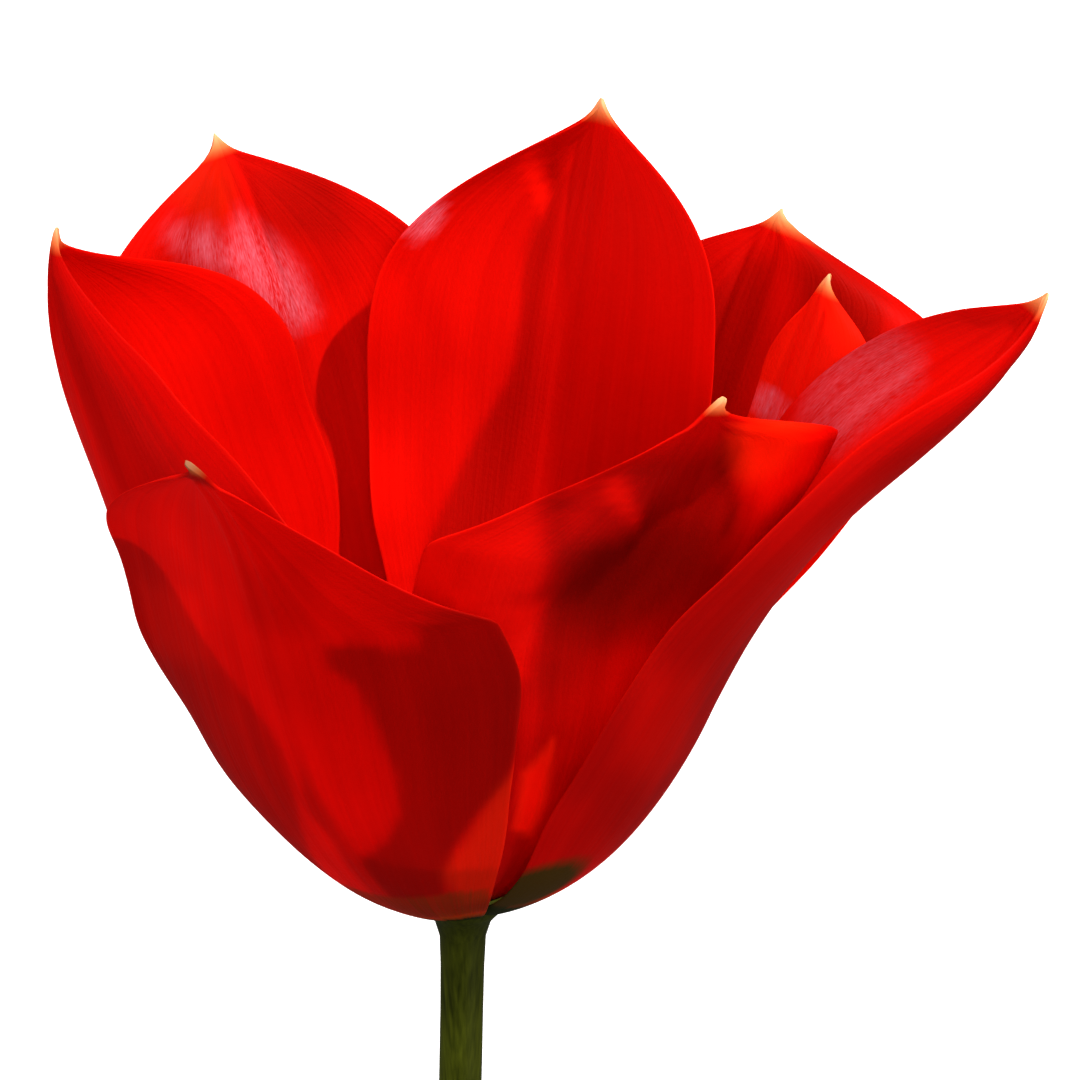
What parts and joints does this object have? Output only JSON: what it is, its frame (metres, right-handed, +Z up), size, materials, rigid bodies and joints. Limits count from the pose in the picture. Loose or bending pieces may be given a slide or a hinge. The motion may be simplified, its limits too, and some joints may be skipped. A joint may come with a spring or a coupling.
{
  "type": "cut tulip flower",
  "caption": "Red tulip bloom with broad, layered, pointed tepals opening from a cup, on a straight leafless cut stem, lying on a surface.",
  "frame": {"origin": "bottom centre of the bounding box, on the surface that the flower lies on", "axes": "+Y along the flower from the cut end of the stem to the open mouth of the bloom, +Z up from the surface, +X to the bloom's right as seen from above with the bloom at the top"},
  "size_m": [0.1156, 0.292, 0.0792],
  "materials": {
    "tepal": "scarlet, satin, thin enough that light shines through",
    "stem": "olive green, waxy matte",
    "stamen": "yellow, powdery",
    "pistil": "pale green, waxy"
  },
  "bodies": {
    "root": {"tepal_front_left": "tepal", "tepal_front_right": "tepal", "tepal_far_right": "tepal", "tepal_small_right": "tepal", "tepal_back_right": "tepal", "tepal_back_centre": "tepal", "tepal_back_left": "tepal", "tepal_far_left": "tepal", "stem": "stem", "stamens": "stamen", "pistil": "pistil"}
  },
  "joints": []
}
